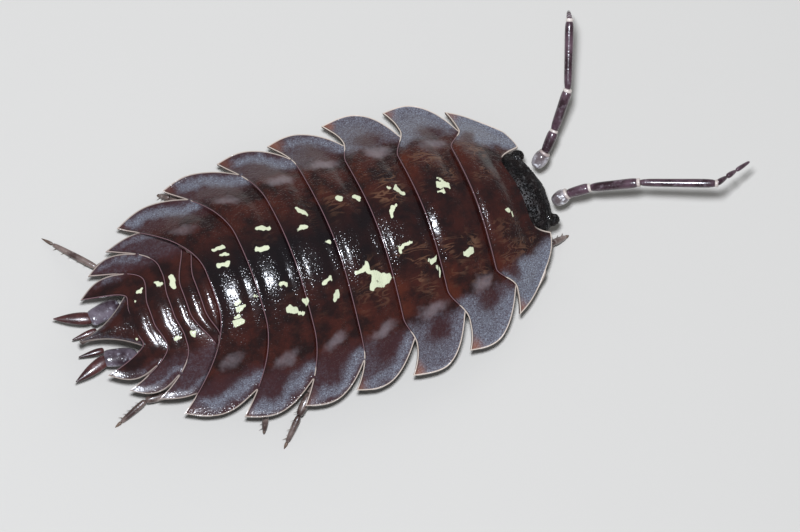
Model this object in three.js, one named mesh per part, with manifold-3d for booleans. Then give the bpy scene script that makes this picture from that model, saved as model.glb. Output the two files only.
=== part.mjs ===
// A common shiny woodlouse, Oniscus asellus, as a still model at life size.
// Millimetres. +X runs from the tail to the head, +Y is the animal's left and +Z is up.
// Plan stations are measured forward from the tip of the telson, heights from the floor.
// The whole is then moved so that the origin is the middle of its footprint.

import * as THREE from "three";
import { mergeVertices } from "three/addons/utils/BufferGeometryUtils.js";
import Module from "manifold-3d";

const wasm = await Module();
wasm.setup();

// Space between two nodes that meet face to face.
const gap = 0.25;

// Height of the back, height of the side rim and half width of the body, by station.
const bodyStations = [
  { x: -0.2, crown: 1.24, rim: 1.0, half: 1.6 },
  { x: 0.6, crown: 1.45, rim: 1.05, half: 2.1 },
  { x: 1.75, crown: 1.85, rim: 1.1, half: 2.9 },
  { x: 3.0, crown: 2.35, rim: 1.15, half: 3.45 },
  { x: 4.3, crown: 2.85, rim: 1.2, half: 3.85 },
  { x: 5.6, crown: 3.2, rim: 1.25, half: 4.15 },
  { x: 7.0, crown: 3.42, rim: 1.25, half: 4.28 },
  { x: 9.2, crown: 3.5, rim: 1.25, half: 4.35 },
  { x: 11.5, crown: 3.42, rim: 1.25, half: 4.25 },
  { x: 13.3, crown: 3.1, rim: 1.25, half: 3.85 },
  { x: 14.6, crown: 2.65, rim: 1.25, half: 3.0 },
  { x: 15.5, crown: 2.3, rim: 1.3, half: 2.35 },
];

// Shell thickness at the root and the rim of a side plate, measured upright.
const plateRoot = 0.6;
const plateRim = 0.42;
// How far the front of each plate lies under the line of the back, and its raised hind lip.
const plateTuck = 0.16;
const plateLip = 0.05;
// The body under the plates: share of the half width, run of its side wall, belly height.
const coreShare = 0.47;
const coreWall = 0.35;
const bellyHeight = 0.95;
const bellyRise = 0.12;
const sterniteStep = 0.07;

// Each plate: hind edge on the midline, the step and backward hook of that edge towards its tip,
// half width at the tip and where it comes out from under the plate before, and the swell between.
const pereonites = [
  {
    crown: 13.27, step: 0.58, stepFrom: 2.1, stepTo: 2.75,
    hook: 0.12, hookFrom: 2.9, tip: 3.53, front: 2.3, rise: 1, swell: 0.15,
  },
  {
    crown: 11.5, step: 0.52, stepFrom: 2.3, stepTo: 3.3,
    hook: 0.2, hookFrom: 3.5, tip: 4.13, front: 2.7, rise: 3.5, swell: 0.08,
  },
  {
    crown: 9.88, step: 0.27, stepFrom: 2.7, stepTo: 3.5,
    hook: 0.35, hookFrom: 3.5, tip: 4.33, front: 3.05, rise: 4.5, swell: 0.12,
  },
  {
    crown: 8.42, step: 0, stepFrom: 3, stepTo: 4,
    hook: 0.52, hookFrom: 3.1, tip: 4.23, front: 3.35, rise: 3, swell: 0.2,
  },
  {
    crown: 7.0, step: 0, stepFrom: 3, stepTo: 4,
    hook: 0.83, hookFrom: 2.2, tip: 4.19, front: 3.5, rise: 3, swell: 0.2,
  },
  {
    crown: 5.6, step: 0, stepFrom: 3, stepTo: 4,
    hook: 1.38, hookFrom: 1.4, tip: 3.9, front: 3.55, rise: 2, swell: 0.32,
  },
  {
    crown: 4.3, step: 0, stepFrom: 3, stepTo: 4,
    hook: 1.87, hookFrom: 0.6, tip: 3.2, front: 3.3, rise: 2, swell: 0.38,
  },
];
const pleonites = [
  {
    crown: 3.87, step: 0, stepFrom: 1, stepTo: 2,
    hook: 0.1, hookFrom: 1.2, tip: 1.8, front: 1.8, rise: 1, swell: 0,
  },
  {
    crown: 3.42, step: 0.08, stepFrom: 0.4, stepTo: 1.4,
    hook: 0.1, hookFrom: 1.5, tip: 2.05, front: 2.0, rise: 1, swell: 0,
  },
  {
    crown: 2.95, step: 0.12, stepFrom: 0.3, stepTo: 1.1,
    hook: 1.28, hookFrom: 1.35, tip: 2.55, front: 2.5, rise: 1, swell: 0.26,
  },
  {
    crown: 2.3, step: 0.18, stepFrom: 0.3, stepTo: 1.1,
    hook: 1.48, hookFrom: 1.1, tip: 1.97, front: 2.1, rise: 1, swell: 0.3,
  },
  {
    crown: 1.7, step: 0.12, stepFrom: 0.3, stepTo: 0.9,
    hook: 1.32, hookFrom: 0.75, tip: 1.3, front: 1.6, rise: 1, swell: 0.26,
  },
];
// How far each pleonite runs forward under the one before, inside the joined pleon, and how far
// the first one starts ahead of its own hind edge.
const pleonTuck = 0.4;
const pleonReach = 0.6;
const pleonBelly = 0.9;

// Front edge of the first pereonite: hollowed on the midline for the head, horns beside it.
// It is centred on the head, and only the stretch between the horns turns with it.
const collarFront = 14.85;
const collarMiddle = 0.12;
const collarBow = 0.2;
const collarTurn = 0.11;
const hornReach = 0.85;
const hornHalf = 1.5;
const hornRound = 0.3;
const hornSharpness = 8;

// Telson: length, half width of its base and how fast it draws in, half width of the long point.
const telsonBase = 1.75;
const telsonHalf = 0.72;
const telsonTaper = 2.2;
const telsonPoint = 0.1;
const telsonTip = 0.03;
const telsonBow = 0.12;
const telsonThick = 0.42;
const telsonThin = 0.25;

// Gill flaps in pairs under the tail, each pair behind the one before.
const flapSize = [0.42, 0.45, 0.2];
const flapFirst = { x: 3.55, y: 0.48, z: 0.92 };
const flapStep = 0.46;
const flapNarrowing = 0.03;

// Uropods, left side: ends of each article and its radii.
const uropodParts = {
  protopod: { from: [1.25, 0.86, 0.76], to: [0.68, 0.71, 0.78], radii: [0.18, 0.21], swell: 0.02 },
  exopod: { from: [0.4, 0.76, 0.77], to: [-0.46, 1.06, 0.66], radii: [0.19, 0.06], swell: 0.06 },
  endopod: { from: [0.75, 0.34, 0.5], to: [-0.06, 0.3, 0.42], radii: [0.14, 0.06], swell: 0.04 },
};

// The head turns a little to the animal's left.
const headCentre = { x: 15.24, y: 0.12, z: 1.62 };
const headYaw = THREE.MathUtils.degToRad(10);
// Rounded lumps of the head, with their radii and places from its centre before it turns.
const headLumps = [
  { size: [0.64, 1.42, 0.72], place: [-0.14, 0, 0], rings: 9 },
  { size: [0.24, 0.26, 0.22], place: [0.34, 1.08, 0.02], rings: 5 },
  { size: [0.24, 0.26, 0.22], place: [0.28, -1.16, 0.02], rings: 5 },
  { size: [0.22, 0.4, 0.22], place: [0.3, 0, 0.06], rings: 5 },
  { size: [0.4, 0.62, 0.4], place: [0.24, 0, -0.36], rings: 6 },
];
const eyeSize = [0.22, 0.17, 0.2];
const eyePlaces = { left: [0.12, 1.0, 0.32], right: [0, -1.06, 0.32] };
const eyeMoat = 0.2;
const jawSize = [0.34, 0.26, 0.2];
const jawPlace = { x: 0.12, y: 0.19, z: -1.12 };

const legRadius = 0.25;
const footRadius = 0.13;

// Feelers: radius of the articles, of the whip's root and tip, and the swell of the base.
const feelerRadius = 0.25;
const whipRoot = 0.2;
const whipTip = 0.07;
const baseSwell = 0.05;
// Space left at each end of an article, so that two of them stay apart at a bend.
const jointSpace = 0.15;
const whipSpace = 0.32;

const colours = {
  shell: 0x3a1a18,
  head: 0x15110f,
  eye: 0x0a0808,
  leg: 0x8a8078,
  feeler: 0x4a3038,
  pale: 0xb9a8a0,
};

// A smooth curve through stations, with one value for each x.
function through(stations, key) {
  const slopeAt = (i) => {
    const a = stations[Math.max(i - 1, 0)];
    const b = stations[Math.min(i + 1, stations.length - 1)];
    return (b[key] - a[key]) / (b.x - a.x);
  };
  return (x) => {
    const last = stations.length - 2;
    let i = stations.findIndex((s) => s.x > x) - 1;
    if (i < 0) i = x < stations[0].x ? 0 : last;
    const a = stations[i];
    const b = stations[i + 1];
    const run = b.x - a.x;
    const u = THREE.MathUtils.clamp((x - a.x) / run, 0, 1);
    const v = 1 - u;
    const ends = a[key] * v * v * (1 + 2 * u) + b[key] * u * u * (3 - 2 * u);
    return ends + run * (slopeAt(i) * u * v * v - slopeAt(i + 1) * u * u * v);
  };
}

const crownAt = through(bodyStations, "crown");
const rimAt = through(bodyStations, "rim");
const halfAt = through(bodyStations, "half");

// Cross-section of the back: 1 on the midline, 0 at the rim, the side plates flaring out.
function arch(share) {
  const t = Math.min(share, 1);
  return 0.65 * Math.cos((Math.PI * t) / 2) + 0.35 * 0.5 * (1 + Math.cos(Math.PI * t));
}

function backHeight(x, y) {
  return rimAt(x) + (crownAt(x) - rimAt(x)) * arch(Math.abs(y) / halfAt(x));
}

// Hind edge of a plate at a distance y from the midline.
function hindEdge(plate, y) {
  const side = Math.abs(y);
  const step = plate.step * THREE.MathUtils.smoothstep(side, plate.stepFrom, plate.stepTo);
  const bend = Math.max(0, side - plate.hookFrom) / (plate.tip - plate.hookFrom);
  return plate.crown + step - plate.hook * bend * bend;
}

// The line that keeps the gap behind a plate's hind edge.
function behindEdge(plate, y) {
  const probe = 0.01;
  const slope = (hindEdge(plate, Math.abs(y) + probe) - hindEdge(plate, Math.abs(y))) / probe;
  return hindEdge(plate, y) - gap * Math.sqrt(1 + slope * slope);
}

// Front edge of the first plate, bowed and turned with the head, out to the two horns.
function collarEdge(y) {
  const off = y - collarMiddle;
  const side = Math.min(Math.abs(off) / hornHalf, 1);
  const horn = side ** hornSharpness;
  const outside = Math.max(0, Math.abs(off) - hornHalf) / (pereonites[0].front - hornHalf);
  const inner = collarFront - collarBow * side * side - collarTurn * off * (1 - horn);
  return inner + hornReach * horn - hornRound * outside ** 2;
}

// The line that keeps the gap in front of that edge.
function aheadOfCollar(y) {
  const probe = 0.01;
  const slope = (collarEdge(y + probe) - collarEdge(y - probe)) / (2 * probe);
  return collarEdge(y) + gap * Math.sqrt(1 + slope * slope);
}

// Half width of a plate from its front edge, s = 0, to its tip, s = 1.
function plateHalf(plate, s) {
  const grown = 1 - (1 - s) ** plate.rise;
  return plate.front + (plate.tip - plate.front) * grown + plate.swell * Math.sin(Math.PI * s);
}

// Shares of the half width and of the plate's length at which the surfaces are sampled.
const acrossHalf = [0.1, 0.2, 0.3, 0.39, 0.46, 0.52, 0.58, 0.66, 0.76, 0.87, 1];
const across = [...acrossHalf.map((t) => -t).reverse(), 0, ...acrossHalf];
const along = [0, 0.2, 0.45, 0.7, 0.88, 1];
const pleonAlong = [0, 0.5, 0.85, 1];

// A closed solid between two grids of points, row by row.
function betweenGrids(rows, columns, upper, lower) {
  const points = [];
  const faces = [];
  const count = rows * columns;
  for (let i = 0; i < rows; i += 1) {
    for (let j = 0; j < columns; j += 1) points.push(...upper(i, j));
  }
  for (let i = 0; i < rows; i += 1) {
    for (let j = 0; j < columns; j += 1) points.push(...lower(i, j));
  }
  const at = (i, j) => i * columns + j;
  const quad = (a, b, c, d) => faces.push(a, c, b, a, d, c);
  for (let i = 0; i < rows - 1; i += 1) {
    for (let j = 0; j < columns - 1; j += 1) {
      quad(at(i, j), at(i + 1, j), at(i + 1, j + 1), at(i, j + 1));
      quad(count + at(i, j), count + at(i, j + 1), count + at(i + 1, j + 1), count + at(i + 1, j));
    }
  }
  for (let i = 0; i < rows - 1; i += 1) {
    const far = columns - 1;
    quad(at(i, 0), count + at(i, 0), count + at(i + 1, 0), at(i + 1, 0));
    quad(at(i, far), at(i + 1, far), count + at(i + 1, far), count + at(i, far));
  }
  for (let j = 0; j < columns - 1; j += 1) {
    const far = rows - 1;
    quad(at(0, j), at(0, j + 1), count + at(0, j + 1), count + at(0, j));
    quad(at(far, j), count + at(far, j), count + at(far, j + 1), at(far, j + 1));
  }
  const geometry = new THREE.BufferGeometry();
  geometry.setAttribute("position", new THREE.Float32BufferAttribute(points, 3));
  geometry.setIndex(faces);
  return geometry;
}

// One ring of the body: the arched plate with its side plates, and the body under it.
function bodyRing(plate, frontEdge, belly, rows = along) {
  const place = (i, j) => {
    const s = rows[i];
    const frontY = across[j] * plateHalf(plate, 0);
    const hindY = across[j] * plateHalf(plate, 1);
    const x = THREE.MathUtils.lerp(frontEdge(frontY), hindEdge(plate, hindY), s);
    return { s, x, y: across[j] * plateHalf(plate, s), t: Math.abs(across[j]) };
  };
  const top = ({ s, x, y }) => {
    const lip = plateLip * THREE.MathUtils.smoothstep(s, 0.75, 1);
    return backHeight(x, y) - plateTuck * (1 - s) ** 2 + lip;
  };
  const upper = (i, j) => {
    const p = place(i, j);
    return [p.x, p.y, top(p)];
  };
  const lower = (i, j) => {
    const p = place(i, j);
    const core = coreShare * halfAt(p.x);
    const out = THREE.MathUtils.smoothstep(Math.abs(p.y), core, core + coreWall);
    const flat = belly + bellyRise * Math.min(Math.abs(p.y) / core, 1) ** 2 - sterniteStep * p.s;
    const shell = top(p) - THREE.MathUtils.lerp(plateRoot, plateRim, p.t);
    return [p.x, p.y, THREE.MathUtils.lerp(Math.min(flat, shell), shell, out)];
  };
  return betweenGrids(rows.length, across.length, upper, lower);
}

// Joining and cutting of closed meshes.
function toSolid(geometry) {
  const bare = geometry.clone();
  bare.deleteAttribute("normal");
  bare.deleteAttribute("uv");
  const merged = mergeVertices(bare, 1e-4);
  return new wasm.Manifold(
    new wasm.Mesh({
      numProp: 3,
      vertProperties: new Float32Array(merged.attributes.position.array),
      triVerts: new Uint32Array(merged.index.array),
    }),
  );
}

function toGeometry(solid) {
  const parts = solid.decompose();
  parts.sort((a, b) => b.volume() - a.volume());
  const mesh = parts[0].getMesh();
  const geometry = new THREE.BufferGeometry();
  geometry.setAttribute("position", new THREE.Float32BufferAttribute(mesh.vertProperties, 3));
  geometry.setIndex(Array.from(mesh.triVerts));
  return geometry;
}

function joined(geometries) {
  return geometries.map(toSolid).reduce((all, next) => all.add(next));
}

// A block that fills the plan on one side of an edge curve, from below the floor to above the back.
function blockBeyond(edge, halfWide, farX) {
  const outline = new THREE.Shape();
  const steps = 24;
  outline.moveTo(farX, -halfWide);
  for (let i = 0; i <= steps; i += 1) {
    const y = halfWide * ((2 * i) / steps - 1);
    outline.lineTo(edge(y), y);
  }
  outline.lineTo(farX, halfWide);
  const block = new THREE.ExtrudeGeometry(outline, { depth: 8, bevelEnabled: false });
  block.translate(0, 0, -2);
  return toSolid(block);
}

// A rounded lump: a ball with three radii, turned and set in place.
function lump(radii, centre, turn = 0, rings = 10) {
  const ball = new THREE.SphereGeometry(1, rings * 2, rings);
  ball.scale(...radii);
  ball.rotateZ(turn);
  ball.translate(...centre);
  return ball;
}

// A limb article: a turned profile between two points, swelling from one radius to another,
// with its ends drawn in to a share of their radius.
const articleSides = 8;
const articleStations = [0, 0.14, 0.8, 1];
const endShare = 0.7;
function article(from, to, startRadius, endRadius, swell = 0.04) {
  const a = new THREE.Vector3(...from);
  const b = new THREE.Vector3(...to);
  const long = a.distanceTo(b);
  const profile = [new THREE.Vector2(0, 0)];
  for (const u of articleStations) {
    const round = u === 0 || u === 1 ? endShare : 1;
    const wide = THREE.MathUtils.lerp(startRadius, endRadius, u) + swell * Math.sin(Math.PI * u);
    profile.push(new THREE.Vector2(wide * round, long * u));
  }
  profile.push(new THREE.Vector2(0, long));
  const turned = new THREE.LatheGeometry(profile, articleSides);
  const aim = new THREE.Quaternion().setFromUnitVectors(
    new THREE.Vector3(0, 1, 0),
    b.clone().sub(a).normalize(),
  );
  turned.applyQuaternion(aim);
  turned.translate(...a.toArray());
  return turned;
}

const model = new THREE.Group();

function addNode(name, geometry, colour, roughness = 0.35) {
  const material = new THREE.MeshStandardMaterial({ color: colour, roughness, metalness: 0 });
  const mesh = new THREE.Mesh(geometry, material);
  mesh.name = name;
  model.add(mesh);
}

// Thorax: seven rings, each starting the gap behind the hind edge of the one before.
pereonites.forEach((plate, i) => {
  const before = pereonites[i - 1];
  const frontEdge = before ? (y) => behindEdge(before, y) : collarEdge;
  addNode(`pereonite_${i + 1}`, bodyRing(plate, frontEdge, bellyHeight), colours.shell);
});

// Tail: five overlapping plates in one piece, with the gill flaps in pairs under them.
const lastPereonite = pereonites[pereonites.length - 1];
function pleon() {
  const rings = pleonites.map((plate, i) => {
    const before = pleonites[i - 1] ?? { ...plate, crown: plate.crown + pleonReach };
    return bodyRing(plate, (y) => hindEdge(before, y) + pleonTuck, pleonBelly, pleonAlong);
  });
  const flaps = [];
  for (let i = 0; i < pleonites.length; i += 1) {
    for (const side of [-1, 1]) {
      const narrower = flapNarrowing * i;
      const centre = [flapFirst.x - flapStep * i, side * (flapFirst.y - narrower), flapFirst.z];
      flaps.push(lump([flapSize[0], flapSize[1] - narrower, flapSize[2]], centre, 0, 4));
    }
  }
  const front = blockBeyond((y) => behindEdge(lastPereonite, y), 3.4, 9);
  return toGeometry(joined([...rings, ...flaps]).subtract(front));
}
addNode("pleon", pleon(), colours.shell);

// Telson: a broad base that draws in quickly to a long point.
function telson() {
  const stations = [1, 0.86, 0.7, 0.52, 0.34, 0.16, 0];
  const half = (u) => telsonHalf * u ** telsonTaper + telsonPoint * Math.sqrt(u) + telsonTip;
  const lastPleonite = pleonites[pleonites.length - 1];
  const columns = [-1, -0.5, 0, 0.5, 1];
  const place = (i, j) => {
    const y = columns[j] * half(stations[i]);
    const base = Math.min(telsonBase, behindEdge(lastPleonite, y));
    return [base * stations[i], y];
  };
  const upper = (i, j) => {
    const [x, y] = place(i, j);
    return [x, y, backHeight(x, 0) - telsonBow * columns[j] ** 2];
  };
  const lower = (i, j) => {
    const [x, y, z] = upper(i, j);
    const thickening = Math.min(1, stations[i] * 1.5);
    return [x, y, z - THREE.MathUtils.lerp(telsonThin, telsonThick, thickening)];
  };
  return betweenGrids(stations.length, columns.length, upper, lower);
}
addNode("telson", telson(), colours.shell);

// Uropods: a thick foot, a long outer lance and a short inner one under the telson.
for (const [name, side] of [["left", 1], ["right", -1]]) {
  for (const [part, { from, to, radii, swell }] of Object.entries(uropodParts)) {
    const start = [from[0], side * from[1], from[2]];
    const end = [to[0], side * to[1], to[2]];
    const colour = part === "endopod" ? colours.pale : colours.shell;
    addNode(`uropod_${name}_${part}`, article(start, end, ...radii, swell), colour);
  }
}

// Head: a wide low skull with side lobes and the face under it, its back cut to the collar.
function onHead([x, y, z]) {
  const p = new THREE.Vector3(x, y, z).applyAxisAngle(new THREE.Vector3(0, 0, 1), headYaw);
  return [p.x + headCentre.x, p.y + headCentre.y, p.z + headCentre.z];
}
function head() {
  const parts = headLumps.map(({ size, place, rings }) => lump(size, onHead(place), headYaw, rings));
  let skull = joined(parts);
  for (const place of Object.values(eyePlaces)) {
    const pit = eyeSize.map((radius) => radius + eyeMoat);
    skull = skull.subtract(toSolid(lump(pit, onHead(place), headYaw, 6)));
  }
  const behind = blockBeyond(aheadOfCollar, hornHalf + 0.2, 10);
  return toGeometry(skull.subtract(behind));
}
addNode("head", head(), colours.head, 0.6);
for (const [name, place] of Object.entries(eyePlaces)) {
  addNode(`eye_${name}`, lump(eyeSize, onHead(place), headYaw, 5), colours.eye, 0.2);
}
const jaws = [-1, 1].map((side) => {
  return lump(jawSize, onHead([jawPlace.x, side * jawPlace.y, jawPlace.z]), headYaw, 5);
});
addNode("mouthparts", toGeometry(joined(jaws)), colours.pale, 0.5);

// Antennae: the joints in order from the socket to the tip.
const feelers = {
  left: [
    [15.82, 0.86, 1.4],
    [16.22, 1.14, 1.68],
    [16.68, 1.66, 2.0],
    [17.39, 2.62, 2.8],
    [18.09, 4.64, 3.5],
    [18.46, 5.21, 2.2],
  ],
  right: [
    [15.98, -0.42, 1.4],
    [16.43, -0.36, 1.68],
    [17.13, -0.46, 2.0],
    [18.56, -0.92, 2.6],
    [20.85, -1.81, 3.0],
    [22.27, -1.31, 2.3],
  ],
};
const feelerParts = ["base", "article_3", "article_4", "article_5", "flagellum"];
function shortened(from, to, startCut, endCut) {
  const a = new THREE.Vector3(...from);
  const b = new THREE.Vector3(...to);
  const way = b.clone().sub(a).normalize();
  return [a.addScaledVector(way, startCut).toArray(), b.addScaledVector(way, -endCut).toArray()];
}
for (const [name, joints] of Object.entries(feelers)) {
  feelerParts.forEach((part, i) => {
    const last = i === feelerParts.length - 1;
    const innerCut = last ? whipSpace : jointSpace;
    const startCut = i === 0 ? gap : innerCut;
    const [a, b] = shortened(joints[i], joints[i + 1], startCut, last ? 0 : jointSpace);
    const start = last ? whipRoot : feelerRadius;
    const tip = last ? whipTip : feelerRadius;
    const tube = article(a, b, start, tip, i === 0 ? baseSwell : 0);
    addNode(`antenna_${name}_${part}`, tube, i === 0 ? colours.pale : colours.feeler);
  });
}

// Legs: root at the side of the body, two bends and the foot, flat where it stands.
const legs = {
  left: [
    [[14.15, 2.05, 0.77], [14.62, 2.4, 0.52], [14.95, 2.6, 0.38], [15.12, 2.75, 0]],
    [[12.4, 2.5, 0.95], [12.9, 3.05, 0.72], [13.2, 3.4, 0.42], [13.35, 3.6, 0]],
    [[10.7, 2.65, 1.05], [11.05, 3.2, 0.8], [11.35, 3.72, 0.45], [11.5, 3.95, 0]],
    [[9.1, 2.7, 1.08], [9.2, 3.25, 0.82], [9.3, 3.78, 0.46], [9.35, 4.0, 0]],
    [[7.6, 2.7, 1.05], [7.35, 3.25, 0.8], [7.15, 3.75, 0.46], [7.05, 3.95, 0]],
    [[6.1, 2.62, 1.05], [5.3, 3.1, 0.74], [4.5, 3.75, 0.42], [4.2, 4.05, 0]],
    [[4.55, 2.35, 1.02], [3.1, 2.4, 0.44], [1.5, 2.3, 0.4], [0.2, 3.85, 0]],
  ],
  right: [
    [[14.1, -2.05, 0.85], [14.9, -1.95, 0.6], [15.65, -1.5, 0.5], [16.4, -1.32, 0]],
    [[12.4, -2.5, 0.95], [12.85, -3.05, 0.72], [13.1, -3.4, 0.42], [13.2, -3.6, 0]],
    [[10.7, -2.65, 1.05], [11.0, -3.2, 0.8], [11.25, -3.72, 0.45], [11.35, -3.95, 0]],
    [[9.1, -2.7, 1.08], [9.1, -3.25, 0.82], [9.05, -3.78, 0.46], [9.05, -4.0, 0]],
    [[7.6, -2.7, 1.05], [6.95, -3.3, 0.74], [6.0, -4.3, 0.42], [5.25, -5.1, 0]],
    [[6.1, -2.62, 1.02], [5.45, -3.15, 0.72], [5.0, -3.95, 0.4], [4.8, -4.45, 0]],
    [[4.55, -2.35, 1.02], [3.1, -2.35, 0.44], [1.5, -2.3, 0.4], [0.35, -2.75, 0]],
  ],
};
const underFloor = new THREE.BoxGeometry(60, 60, 4);
underFloor.translate(10, 0, -2);
const floorBlock = toSolid(underFloor);
// The far end of an article, carried past its joint so that the next one is rooted in it.
const jointLap = 0.12;
function onward(from, to) {
  return shortened(from, to, 0, -jointLap)[1];
}
function leg([root, knee, ankle, toe]) {
  const sole = [...toe.slice(0, 2), -0.06];
  const parts = [
    article(root, onward(root, knee), legRadius * 0.9, legRadius),
    article(onward(ankle, knee), onward(knee, ankle), legRadius, legRadius * 0.9),
    article(onward(sole, ankle), sole, legRadius * 0.9, footRadius, 0),
  ];
  return toGeometry(joined(parts).subtract(floorBlock));
}
for (const [name, places] of Object.entries(legs)) {
  places.forEach((joints, i) => addNode(`leg_${name}_${i + 1}`, leg(joints), colours.leg));
}

const reach = new THREE.Box3().setFromObject(model);
model.position.set(-(reach.min.x + reach.max.x) / 2, -(reach.min.y + reach.max.y) / 2, 0);

export default model;
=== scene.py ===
import math
import random
from functools import partial
import bpy
import numpy as np
from mathutils import Matrix, Vector, noise


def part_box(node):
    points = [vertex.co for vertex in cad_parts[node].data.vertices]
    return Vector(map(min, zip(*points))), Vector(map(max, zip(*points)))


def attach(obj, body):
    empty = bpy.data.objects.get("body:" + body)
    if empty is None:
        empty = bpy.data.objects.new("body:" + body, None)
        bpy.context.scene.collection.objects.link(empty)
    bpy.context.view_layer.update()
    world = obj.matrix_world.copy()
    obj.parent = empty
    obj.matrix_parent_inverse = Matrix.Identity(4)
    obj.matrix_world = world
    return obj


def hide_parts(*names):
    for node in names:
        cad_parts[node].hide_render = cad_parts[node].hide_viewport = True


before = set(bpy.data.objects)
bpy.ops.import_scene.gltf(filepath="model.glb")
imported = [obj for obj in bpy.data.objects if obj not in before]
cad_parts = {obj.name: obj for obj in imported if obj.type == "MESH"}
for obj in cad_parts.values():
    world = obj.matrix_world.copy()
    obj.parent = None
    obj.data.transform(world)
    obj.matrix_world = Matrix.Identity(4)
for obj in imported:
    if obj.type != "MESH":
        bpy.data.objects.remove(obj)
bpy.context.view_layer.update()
print("frame loaded with", len(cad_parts), "nodes")

# Lengths here are millimetres: x forward from the tip of the tail, y to the animal's left, z up.
millimetre = 0.001
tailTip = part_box("telson")[0].x / millimetre
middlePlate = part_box("pereonite_4")
midline = (middlePlate[0].y + middlePlate[1].y) / 2 / millimetre


def toFrame(points):
    moved = np.asarray(points, float) + np.array([tailTip, midline, 0.0])
    return moved * millimetre


# The view of the photograph: from above, a little behind the animal and to its right.
view = {
    "leanBack": 12,  # degrees off the vertical, towards the tail
    "leanRight": 12,  # and towards the animal's right
    "turn": 17.8,  # how far the body points up to the right in the picture
    "width": 25.4,  # millimetres across the picture
    "pixels": (800, 532),
    "tailPixel": (79, 343.5),  # where the tip of the tail shows
    "tailHeight": 1.0,
    "distance": 400,
    "sensor": 36,
    "clip": (0.01, 5),  # metres
}
perPixel = view["width"] / view["pixels"][0]


def pictureAxes():
    lean = [-math.tan(math.radians(view[side])) for side in ("leanBack", "leanRight")]
    towards = Vector((lean[0], lean[1], 1)).normalized()
    forward = Vector((1, 0, 0))
    forward = (forward - towards * forward.dot(towards)).normalized()
    sideways = towards.cross(forward)
    turn = math.radians(view["turn"])
    right = forward * math.cos(turn) - sideways * math.sin(turn)
    up = forward * math.sin(turn) + sideways * math.cos(turn)
    return right, up, towards


pictureRight, pictureUp, pictureBack = pictureAxes()


def addCamera():
    tailAcross, tailDown = view["tailPixel"]
    across = (view["pixels"][0] / 2 - tailAcross) * perPixel
    upward = (tailDown - view["pixels"][1] / 2) * perPixel
    target = Vector((0, 0, view["tailHeight"])) + pictureRight * across + pictureUp * upward
    place = target + pictureBack * view["distance"]
    bpy.ops.object.camera_add()
    camera = bpy.context.object
    axes = Matrix((pictureRight, pictureUp, pictureBack)).transposed().to_4x4()
    camera.matrix_world = Matrix.Translation(Vector(toFrame(place))) @ axes
    camera.data.sensor_width = view["sensor"]
    camera.data.lens = view["sensor"] * view["distance"] / view["width"]
    camera.data.clip_start, camera.data.clip_end = view["clip"]
    bpy.context.scene.camera = camera


addCamera()
print("camera placed")


# The form of the back, which every plate follows.
bodyForm = {
    # x: height of the back, height of the side rim, half width
    "stations": {
        -0.2: (1.24, 1.0, 1.6),
        0.6: (1.45, 1.05, 2.1),
        1.75: (1.85, 1.1, 2.9),
        3.0: (2.35, 1.15, 3.45),
        4.3: (2.85, 1.2, 3.85),
        5.6: (3.2, 1.25, 4.15),
        7.0: (3.42, 1.25, 4.28),
        9.2: (3.5, 1.25, 4.35),
        11.5: (3.42, 1.25, 4.25),
        13.3: (3.1, 1.25, 3.85),
        14.6: (2.65, 1.25, 3.0),
        15.5: (2.3, 1.3, 2.35),
    },
    "roundShare": 0.65,
    "flareShare": 0.35,
}
stationPlaces = np.array(list(bodyForm["stations"]))
stationValues = np.array(list(bodyForm["stations"].values()))


def alongBody(x, column):
    x = np.asarray(x, float)
    values = stationValues[:, column]
    last = len(values) - 1
    before = np.maximum(np.arange(last + 1) - 1, 0)
    after = np.minimum(np.arange(last + 1) + 1, last)
    slopes = (values[after] - values[before]) / (stationPlaces[after] - stationPlaces[before])
    i = np.clip(np.searchsorted(stationPlaces, x, side="right") - 1, 0, last - 1)
    run = stationPlaces[i + 1] - stationPlaces[i]
    u = np.clip((x - stationPlaces[i]) / run, 0, 1)
    v = 1 - u
    ends = values[i] * v * v * (1 + 2 * u) + values[i + 1] * u * u * (3 - 2 * u)
    return ends + run * (slopes[i] * u * v * v - slopes[i + 1] * u * u * v)


def ease(value, low, high):
    share = np.clip((np.asarray(value, float) - low) / (high - low), 0, 1)
    return share * share * (3 - 2 * share)


def hump(value, centre, spread):
    return np.exp(-(((np.asarray(value, float) - centre) / spread) ** 2))


def backHeight(x, y):
    share = np.clip(np.abs(y) / alongBody(x, 2), 0, 1)
    rounded = bodyForm["roundShare"] * np.cos(np.pi * share / 2)
    flared = bodyForm["flareShare"] * (1 + np.cos(np.pi * share)) / 2
    rim = alongBody(x, 1)
    return rim + (alongBody(x, 0) - rim) * (rounded + flared)


def underPixel(across, down):
    # the place on the back that shows at this pixel of the picture
    right = (across - view["tailPixel"][0]) * perPixel
    up = (view["tailPixel"][1] - down) * perPixel
    flat = Matrix((pictureRight.xy, pictureUp.xy)).inverted()
    height = 3.0  # a first guess, which settles within a few rounds
    for attempt in range(12):
        rise = height - view["tailHeight"]
        seen = flat @ Vector((right - pictureRight.z * rise, up - pictureUp.z * rise))
        height = float(backHeight(seen.x, seen.y))
    return seen.x, seen.y


# Mesh helpers.
def deselectAll():
    if bpy.context.object and bpy.context.object.mode != "OBJECT":
        bpy.ops.object.mode_set(mode="OBJECT")
    bpy.ops.object.select_all(action="DESELECT")


def pick(piece):
    deselectAll()
    piece.select_set(True)
    bpy.context.view_layer.objects.active = piece


def applyModifier(piece, kind, **settings):
    pick(piece)
    modifier = piece.modifiers.new(kind.title(), kind)
    for name, value in settings.items():
        setattr(modifier, name, value)
    bpy.ops.object.modifier_apply(modifier=modifier.name)


def finishPiece(piece, material, node, smoothAngle=40):
    pick(piece)
    bpy.ops.object.transform_apply(location=True, rotation=True, scale=True)
    bpy.ops.object.shade_smooth_by_angle(angle=math.radians(smoothAngle))
    if material:
        piece.data.materials.clear()
        piece.data.materials.append(material)
    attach(piece, "root")
    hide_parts(node)


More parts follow.
